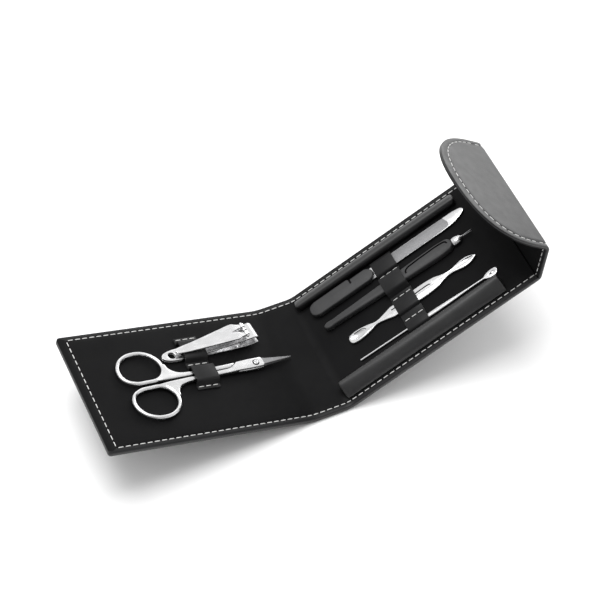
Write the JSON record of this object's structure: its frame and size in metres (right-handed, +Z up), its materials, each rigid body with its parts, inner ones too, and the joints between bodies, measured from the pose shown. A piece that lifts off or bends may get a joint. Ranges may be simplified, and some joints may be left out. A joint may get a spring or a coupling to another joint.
{
  "type": "manicure set case",
  "caption": "Folding leatherette case with a closing flap, standing open on its spine, holding scissors, a nail clipper, a file, a cuticle trimmer, a pusher and a pick under straps.",
  "frame": {"origin": "middle of the spine's outer face, which the open case stands on", "axes": "+X along the case from the front wing to the back wing, +Y across it, +Z up"},
  "size_m": [0.2185, 0.07, 0.0963],
  "materials": {
    "leatherette": "satin",
    "lining": "matte",
    "strap": "satin",
    "board": "matte",
    "foam": "matte",
    "thread": "matte",
    "steel": "polished",
    "ground_steel": "satin",
    "magnet": "matte",
    "handle_plastic": "matte"
  },
  "bodies": {
    "spine": {"spine_cover": "leatherette", "spine_board": "board", "spine_lining": "lining", "spine_stitching": "thread", "front_crease": "leatherette", "back_crease": "leatherette"},
    "front_wing": {"front_cover": "leatherette", "front_board": "board", "front_lining": "lining", "front_stitching": "thread", "keeper_plate": "ground_steel", "front_strap": "strap", "front_strap_stitching": "thread"},
    "back_wing": {"back_cover": "leatherette", "back_board": "board", "back_lining": "lining", "back_stitching": "thread", "back_strap": "strap", "back_strap_stitching": "thread", "upper_bolster_cover": "leatherette", "upper_bolster_foam": "foam", "lower_bolster_cover": "leatherette", "lower_bolster_foam": "foam", "flap_strip_crease": "leatherette"},
    "flap_strip": {"flap_strip_cover": "leatherette", "flap_strip_board": "board", "flap_strip_lining": "lining", "flap_strip_stitching": "thread", "flap_crease": "leatherette"},
    "flap": {"flap_cover": "leatherette", "flap_board": "board", "flap_lining": "lining", "flap_stitching": "thread", "flap_magnet": "magnet"},
    "scissors": {"scissors_upper_half": "steel", "scissors_rivet": "steel"},
    "scissors_swing": {"scissors_lower_half": "steel"},
    "clipper": {"clipper_lower_jaw": "steel", "clipper_tail_rivet": "steel"},
    "clipper_upper": {"clipper_upper_jaw": "steel"},
    "clipper_pin": {"clipper_pin": "steel"},
    "clipper_lever": {"clipper_lever": "steel"},
    "file": {"file_handle": "handle_plastic", "file_blade": "ground_steel"},
    "trimmer": {"trimmer_handle": "handle_plastic", "trimmer_fork": "ground_steel"},
    "pusher": {"pusher": "steel"},
    "pick": {"pick": "steel"}
  },
  "joints": [
    {"name": "front_fold", "type": "hinge", "parent": "spine", "child": "front_wing", "pos_m": [-0.0097, 0, 0], "axis": [0, -1, 0], "range_deg": [-72.4, 17.6], "deforming": ["front_crease"]},
    {"name": "back_fold", "type": "hinge", "parent": "spine", "child": "back_wing", "pos_m": [0.0097, 0, 0], "axis": [0, 1, 0], "range_deg": [-62.7, 27.3], "deforming": ["back_crease"]},
    {"name": "strip_fold", "type": "hinge", "parent": "back_wing", "child": "flap_strip", "pos_m": [0.10567, 0, 0.04953], "axis": [0, 1, 0], "range_deg": [-33.8, 56.2], "deforming": ["flap_strip_crease"]},
    {"name": "flap_fold", "type": "hinge", "parent": "flap_strip", "child": "flap", "pos_m": [0.10816, 0, 0.07139], "axis": [0, 1, 0], "range_deg": [-30.9, 59.1], "deforming": ["flap_crease"]},
    {"name": "scissors_slide", "type": "slide", "parent": "front_wing", "child": "scissors", "axis": [0.9521, 0.0471, -0.302], "range_m": [-0.006, 0.0015], "deforming": ["front_strap", "front_strap_stitching"]},
    {"name": "scissors_open", "type": "hinge", "parent": "scissors", "child": "scissors_swing", "pos_m": [-0.02446, 0.00075, 0.00903], "axis": [0.2907, -0.0006, 0.9568], "range_deg": [0, 30], "deforming": ["front_strap", "front_strap_stitching"]},
    {"name": "clipper_slide", "type": "slide", "parent": "front_wing", "child": "clipper", "axis": [0.9478, 0.1063, -0.3007], "range_m": [0, 0.008]},
    {"name": "clipper_jaw", "type": "hinge", "parent": "clipper", "child": "clipper_upper", "pos_m": [-0.05724, 0.01342, 0.01963], "axis": [0.1013, -0.9943, -0.0321], "range_deg": [-2.8, 0], "stiffness_Nm_per_rad": 0.3},
    {"name": "lever_swivel", "type": "hinge", "parent": "clipper", "child": "clipper_pin", "pos_m": [-0.02409, 0.01704, 0.01201], "axis": [-0.3024, 0, -0.9532], "range_deg": [0, 110]},
    {"name": "lever_tilt", "type": "hinge", "parent": "clipper_pin", "child": "clipper_lever", "pos_m": [-0.02276, 0.01704, 0.01621], "axis": [-0.1013, 0.9943, 0.0321], "range_deg": [0, 60]},
    {"name": "file_slide", "type": "slide", "parent": "back_wing", "child": "file", "axis": [-0.8886, 0, -0.4586], "range_m": [0, 0.007]},
    {"name": "trimmer_slide", "type": "slide", "parent": "back_wing", "child": "trimmer", "axis": [0.8886, -0.0087, 0.4586], "range_m": [0, 0.012]},
    {"name": "pusher_slide", "type": "slide", "parent": "back_wing", "child": "pusher", "axis": [0.8886, 0, 0.4586], "range_m": [-0.008, 0.014]},
    {"name": "pick_slide", "type": "slide", "parent": "back_wing", "child": "pick", "axis": [0.8885, -0.0183, 0.4586], "range_m": [-0.008, 0.01]}
  ],
  "couplings": [
    {"joint": "scissors_slide", "follows": "front_fold", "m_per_rad": 0.004709}
  ]
}
